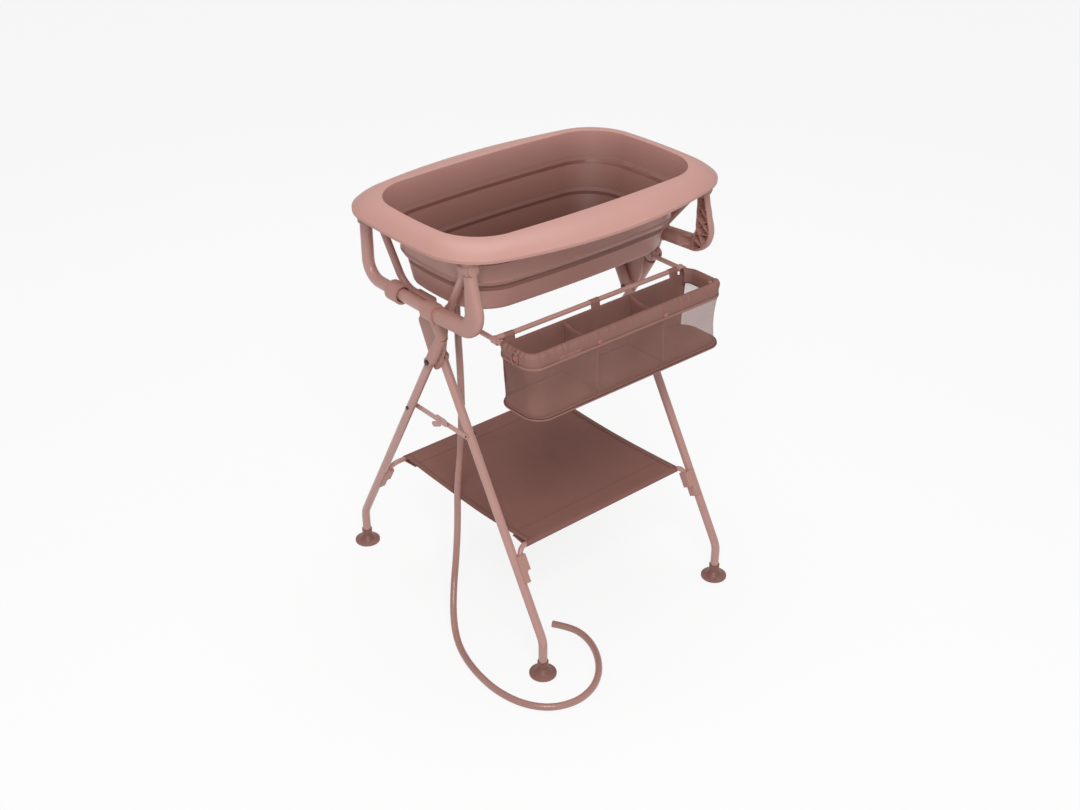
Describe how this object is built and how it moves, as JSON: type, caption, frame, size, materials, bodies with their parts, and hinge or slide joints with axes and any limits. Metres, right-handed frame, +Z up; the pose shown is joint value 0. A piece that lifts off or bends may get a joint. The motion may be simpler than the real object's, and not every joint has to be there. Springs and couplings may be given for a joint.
{
  "type": "baby bathtub with folding stand",
  "caption": "Collapsible baby bathtub hung in a folding crossed-leg stand, with a fabric basket, a cloth shelf and a drain hose.",
  "frame": {"origin": "on the floor, in the middle of the four feet", "axes": "+X to the right along the tub, -Y to the front where the basket hangs, +Z up"},
  "size_m": [0.7925, 0.8378, 1.004],
  "materials": {
    "rim_plastic": "satin moulded plastic",
    "tub_plastic": "satin moulded plastic",
    "band_rubber": "soft elastomer",
    "arm_plastic": "satin moulded plastic",
    "tube_paint": "powder coated tube",
    "foot_rubber": "soft rubber",
    "shelf_fabric": "plain weave polyester",
    "bag_mesh": "see-through mesh",
    "bag_fabric": "gathered polyester",
    "dark_steel": "dark screws and pins",
    "hose_plastic": "soft glossy hose",
    "patch_rubber": "bare rubber patch"
  },
  "bodies": {
    "stand": {"tub_rim": "rim_plastic", "soft_band_upper": "band_rubber", "rim_sockets": "arm_plastic", "pivot_bolts": "dark_steel", "basket_pins": "tube_paint", "hub_left": "arm_plastic", "hub_right": "arm_plastic", "back_strut_left": "tube_paint", "back_strut_right": "tube_paint", "front_strut_left": "tube_paint", "front_strut_right": "tube_paint", "carrier_tube_left": "tube_paint", "carrier_tube_right": "tube_paint", "elbow_arm_left": "arm_plastic", "elbow_arm_right": "arm_plastic", "rim_bracket_left": "arm_plastic", "rim_bracket_right": "arm_plastic"},
    "front_legs": {"front_leg_left": "tube_paint", "front_leg_right": "tube_paint", "front_leg_head_left": "arm_plastic", "front_leg_head_right": "arm_plastic", "front_feet": "foot_rubber", "front_shelf_rail": "tube_paint", "front_rail_brackets": "arm_plastic", "front_brace_pins": "dark_steel", "shelf_cloth": "shelf_fabric"},
    "rear_legs": {"rear_leg_left": "tube_paint", "rear_leg_right": "tube_paint", "rear_leg_head_left": "arm_plastic", "rear_leg_head_right": "arm_plastic", "rear_feet": "foot_rubber", "rear_shelf_rail": "tube_paint", "rear_rail_brackets": "arm_plastic", "rear_brace_pins": "dark_steel"},
    "tub_middle": {"tub_middle_ring": "tub_plastic", "soft_band_lower": "band_rubber"},
    "tub_tray": {"tub_base": "tub_plastic", "drain_fitting": "tub_plastic", "drain_hose": "hose_plastic"},
    "plug": {"drain_plug": "band_rubber"},
    "button_left": {"release_button_left": "arm_plastic"},
    "button_right": {"release_button_right": "arm_plastic"},
    "basket": {"basket_frame": "tube_paint", "basket_rail": "tube_paint", "basket_bag": "bag_mesh", "basket_band": "bag_fabric", "basket_dividers": "bag_fabric", "basket_board": "bag_fabric", "basket_snaps": "dark_steel", "basket_patch": "patch_rubber", "basket_loops": "bag_fabric"},
    "front_brace_left": {"brace_front_left": "tube_paint"},
    "front_brace_right": {"brace_front_right": "tube_paint"},
    "rear_brace_left": {"brace_rear_left": "tube_paint"},
    "rear_brace_right": {"brace_rear_right": "tube_paint"}
  },
  "joints": [
    {"name": "front_leg_fold", "type": "hinge", "parent": "stand", "child": "front_legs", "pos_m": [0, 0, 0.666], "axis": [1, 0, 0], "range_deg": [0, 23], "deforming": ["shelf_cloth"]},
    {"name": "rear_leg_fold", "type": "hinge", "parent": "stand", "child": "rear_legs", "pos_m": [0, 0, 0.666], "axis": [1, 0, 0], "range_deg": [-23, 0]},
    {"name": "tub_tray_collapse", "type": "slide", "parent": "tub_middle", "child": "tub_tray", "axis": [0, 0, 1], "range_m": [0, 0.05], "deforming": ["soft_band_lower"]},
    {"name": "tub_middle_collapse", "type": "slide", "parent": "stand", "child": "tub_middle", "axis": [0, 0, 1], "range_m": [0, 0.05], "deforming": ["soft_band_upper"]},
    {"name": "drain_plug_lift", "type": "slide", "parent": "tub_tray", "child": "plug", "axis": [0, 0, 1], "range_m": [0, 0.03]},
    {"name": "basket_lift", "type": "hinge", "parent": "stand", "child": "basket", "pos_m": [-0.268, -0.082, 0.775], "axis": [1, 0, 0], "range_deg": [-30, 0]},
    {"name": "release_button_left", "type": "slide", "parent": "stand", "child": "button_left", "axis": [0, 1, 0], "range_m": [0, 0.004], "stiffness_N_per_m": 200},
    {"name": "front_brace_fold_left", "type": "hinge", "parent": "front_legs", "child": "front_brace_left", "pos_m": [-0.28564, -0.09154, 0.51], "axis": [1, 0, 0], "range_deg": [0, 52.5]},
    {"name": "rear_brace_fold_left", "type": "hinge", "parent": "rear_legs", "child": "rear_brace_left", "pos_m": [-0.28764, 0.09154, 0.51], "axis": [1, 0, 0], "range_deg": [-52.5, 0]},
    {"name": "release_button_right", "type": "slide", "parent": "stand", "child": "button_right", "axis": [0, 1, 0], "range_m": [0, 0.004], "stiffness_N_per_m": 200},
    {"name": "front_brace_fold_right", "type": "hinge", "parent": "front_legs", "child": "front_brace_right", "pos_m": [0.28564, -0.09154, 0.51], "axis": [1, 0, 0], "range_deg": [0, 52.5]},
    {"name": "rear_brace_fold_right", "type": "hinge", "parent": "rear_legs", "child": "rear_brace_right", "pos_m": [0.28764, 0.09154, 0.51], "axis": [1, 0, 0], "range_deg": [-52.5, 0]}
  ],
  "couplings": [
    {"joint": "rear_leg_fold", "follows": "front_leg_fold", "ratio": -1},
    {"joint": "tub_middle_collapse", "follows": "tub_tray_collapse", "ratio": 1},
    {"joint": "front_brace_fold_left", "follows": "front_leg_fold", "ratio": 2.278},
    {"joint": "rear_brace_fold_left", "follows": "front_leg_fold", "ratio": -2.278},
    {"joint": "front_brace_fold_right", "follows": "front_leg_fold", "ratio": 2.278},
    {"joint": "rear_brace_fold_right", "follows": "front_leg_fold", "ratio": -2.278}
  ]
}
